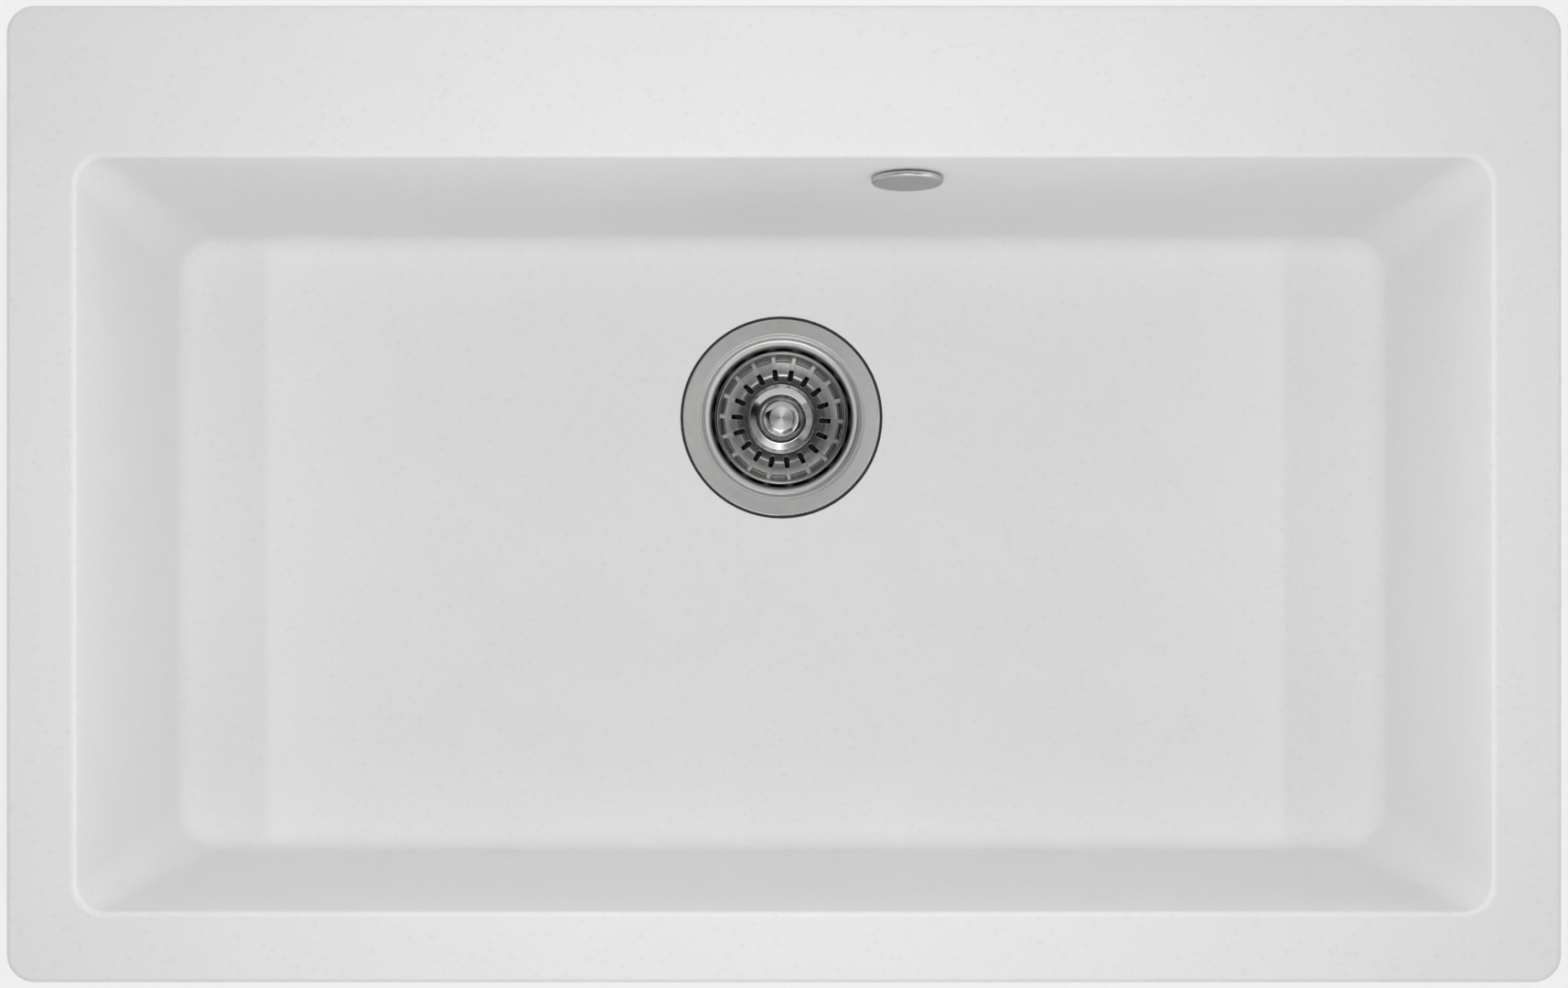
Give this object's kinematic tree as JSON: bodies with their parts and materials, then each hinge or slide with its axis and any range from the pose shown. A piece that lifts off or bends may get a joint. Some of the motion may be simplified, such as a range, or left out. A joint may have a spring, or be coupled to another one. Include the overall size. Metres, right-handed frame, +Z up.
{
  "type": "kitchen sink",
  "caption": "Inset single-bowl kitchen sink cast in white granite composite, with a rear tap ledge, a lift-out basket strainer, a piped overflow and swing-out rim clamps.",
  "frame": {"origin": "centre of the sink's outline, in the plane where the rim rests on the worktop", "axes": "+X to the right along the long side, +Y to the rear ledge, +Z up out of the bowl"},
  "size_m": [0.78, 0.49, 0.2998],
  "materials": {
    "granite": "fine matt mineral grain, cast",
    "satin_steel": "satin, spun",
    "polished_steel": "polished stainless steel",
    "bright_steel": "bright, machined",
    "black_rubber": "matt moulded rubber",
    "foam_strip": "closed-cell foam",
    "waste_plastic": "moulded polypropylene",
    "nut_plastic": "moulded polypropylene",
    "brass": "turned",
    "nylon": "moulded nylon",
    "zinc_steel": "zinc plated"
  },
  "bodies": {
    "sink": {"sink_bowl": "granite", "strainer_body": "satin_steel", "overflow_cap": "satin_steel", "centre_screw": "bright_steel", "overflow_stud": "bright_steel", "flange_gasket": "black_rubber", "waste_gasket": "black_rubber", "overflow_gasket": "black_rubber", "pipe_seal_upper": "black_rubber", "pipe_seal_lower": "black_rubber", "rim_seal": "foam_strip", "waste_body": "waste_plastic", "overflow_elbow": "waste_plastic", "overflow_pipe": "waste_plastic", "pipe_nut_upper": "nut_plastic", "pipe_nut_lower": "nut_plastic", "screw_insert": "brass", "clamp_dowels": "nylon"},
    "basket": {"strainer_basket": "polished_steel", "basket_knob": "polished_steel", "basket_seal": "black_rubber", "seal_washer": "bright_steel", "knob_nut": "bright_steel"},
    "screw_front_left": {"clamp_screw_front_left": "zinc_steel"},
    "arm_front_left": {"clamp_arm_front_left": "zinc_steel"},
    "screw_front_right": {"clamp_screw_front_right": "zinc_steel"},
    "arm_front_right": {"clamp_arm_front_right": "zinc_steel"},
    "screw_back_left": {"clamp_screw_back_left": "zinc_steel"},
    "arm_back_left": {"clamp_arm_back_left": "zinc_steel"},
    "screw_back_right": {"clamp_screw_back_right": "zinc_steel"},
    "arm_back_right": {"clamp_arm_back_right": "zinc_steel"},
    "screw_left": {"clamp_screw_left": "zinc_steel"},
    "arm_left": {"clamp_arm_left": "zinc_steel"},
    "screw_right": {"clamp_screw_right": "zinc_steel"},
    "arm_right": {"clamp_arm_right": "zinc_steel"}
  },
  "joints": [
    {"name": "basket_lift", "type": "slide", "parent": "sink", "child": "basket", "axis": [0, 0, 1], "range_m": [0, 0.26]},
    {"name": "clamp_draw_front_left", "type": "slide", "parent": "sink", "child": "screw_front_left", "axis": [0, 0, 1], "range_m": [0, 0.016]},
    {"name": "clamp_swing_front_left", "type": "hinge", "parent": "screw_front_left", "child": "arm_front_left", "pos_m": [-0.22, -0.2255, -0.0465], "axis": [0, 0, 1], "range_deg": [0, 90]},
    {"name": "clamp_draw_front_right", "type": "slide", "parent": "sink", "child": "screw_front_right", "axis": [0, 0, 1], "range_m": [0, 0.016]},
    {"name": "clamp_swing_front_right", "type": "hinge", "parent": "screw_front_right", "child": "arm_front_right", "pos_m": [0.22, -0.2255, -0.0465], "axis": [0, 0, 1], "range_deg": [0, 90]},
    {"name": "clamp_draw_back_left", "type": "slide", "parent": "sink", "child": "screw_back_left", "axis": [0, 0, 1], "range_m": [0, 0.016]},
    {"name": "clamp_swing_back_left", "type": "hinge", "parent": "screw_back_left", "child": "arm_back_left", "pos_m": [-0.25, 0.226, -0.0465], "axis": [0, 0, 1], "range_deg": [0, 90]},
    {"name": "clamp_draw_back_right", "type": "slide", "parent": "sink", "child": "screw_back_right", "axis": [0, 0, 1], "range_m": [0, 0.016]},
    {"name": "clamp_swing_back_right", "type": "hinge", "parent": "screw_back_right", "child": "arm_back_right", "pos_m": [0.25, 0.226, -0.0465], "axis": [0, 0, 1], "range_deg": [0, 90]},
    {"name": "clamp_draw_left", "type": "slide", "parent": "sink", "child": "screw_left", "axis": [0, 0, 1], "range_m": [0, 0.016]},
    {"name": "clamp_swing_left", "type": "hinge", "parent": "screw_left", "child": "arm_left", "pos_m": [-0.371, -0.02, -0.0465], "axis": [0, 0, 1], "range_deg": [0, 90]},
    {"name": "clamp_draw_right", "type": "slide", "parent": "sink", "child": "screw_right", "axis": [0, 0, 1], "range_m": [0, 0.016]},
    {"name": "clamp_swing_right", "type": "hinge", "parent": "screw_right", "child": "arm_right", "pos_m": [0.371, -0.02, -0.0465], "axis": [0, 0, 1], "range_deg": [0, 90]}
  ]
}
